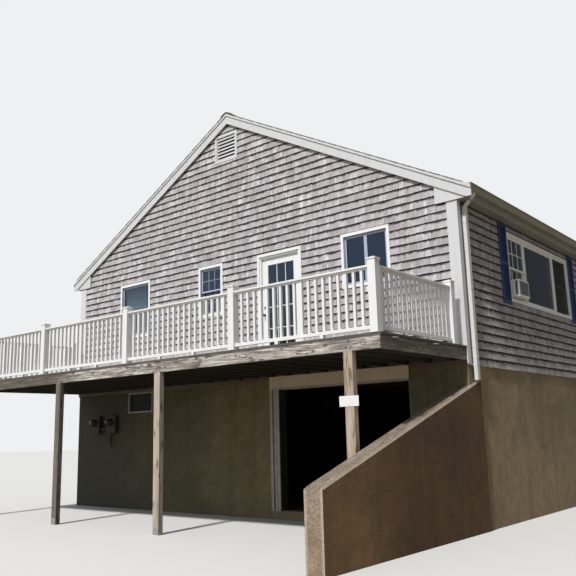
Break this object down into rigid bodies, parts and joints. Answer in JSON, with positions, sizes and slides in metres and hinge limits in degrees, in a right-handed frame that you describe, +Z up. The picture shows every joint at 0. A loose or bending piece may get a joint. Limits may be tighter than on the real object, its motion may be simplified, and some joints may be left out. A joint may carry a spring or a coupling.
{
  "type": "beach house",
  "caption": "Gabled wood-shingle beach house on a concrete foundation with a garage doorway, a raised timber deck with white railings, and a sloping wing wall.",
  "frame": {"origin": "middle of the footprint's outline, at the lowest ground level", "axes": "+Y runs back into the house along the ridge, +X to the right along the gable wall, +Z up"},
  "size_m": [10.594, 15.527, 8.15],
  "materials": {
    "concrete": "cast concrete, stained",
    "wood_shingle": "weathered grey wood shingles",
    "roof_shingle": "mineral-faced asphalt shingles",
    "white_trim": "white painted boards",
    "white_metal": "white baked enamel",
    "white_vinyl": "white vinyl, satin",
    "beige_board": "beige painted board",
    "floor_timber": "plain timber",
    "window_glass": "clear window glass",
    "navy_paint": "navy painted, satin",
    "appliance_white": "off-white enamel",
    "grey_steel": "grey painted steel",
    "weathered_timber": "weathered grey timber",
    "deck_timber": "treated timber, aged",
    "post_timber": "treated timber, dry"
  },
  "bodies": {
    "root": {"garage_slab": "concrete", "foundation_front_left": "concrete", "foundation_front_right": "concrete", "foundation_left": "concrete", "foundation_right": "concrete", "foundation_back": "concrete", "garage_frame": "white_trim", "garage_header": "beige_board", "wing_wall": "concrete", "main_floor": "floor_timber", "front_wall": "wood_shingle", "back_wall": "wood_shingle", "left_wall": "wood_shingle", "right_wall": "wood_shingle", "roof_left": "roof_shingle", "roof_right": "roof_shingle", "ridge_cap": "roof_shingle", "rake_boards": "white_trim", "eave_boxes": "white_trim", "gutter_left": "white_metal", "gutter_right": "white_metal", "downspouts": "white_metal", "corner_boards": "white_trim", "gable_vents": "white_trim", "window_front_left": "white_vinyl", "window_front_middle": "white_vinyl", "window_front_right": "white_vinyl", "deck_door": "white_vinyl", "window_right_front": "white_vinyl", "window_right_rear": "white_vinyl", "windows_left": "white_vinyl", "windows_back": "white_vinyl", "basement_windows": "white_vinyl", "window_glass": "window_glass", "shutters": "navy_paint", "air_conditioner": "appliance_white", "electric_meters": "grey_steel", "deck_boards": "weathered_timber", "deck_joists": "deck_timber", "deck_rim": "weathered_timber", "deck_posts": "post_timber", "rail_posts": "white_vinyl", "railing_front": "white_vinyl", "railing_right": "white_vinyl", "railing_left": "white_vinyl"}
  },
  "joints": []
}
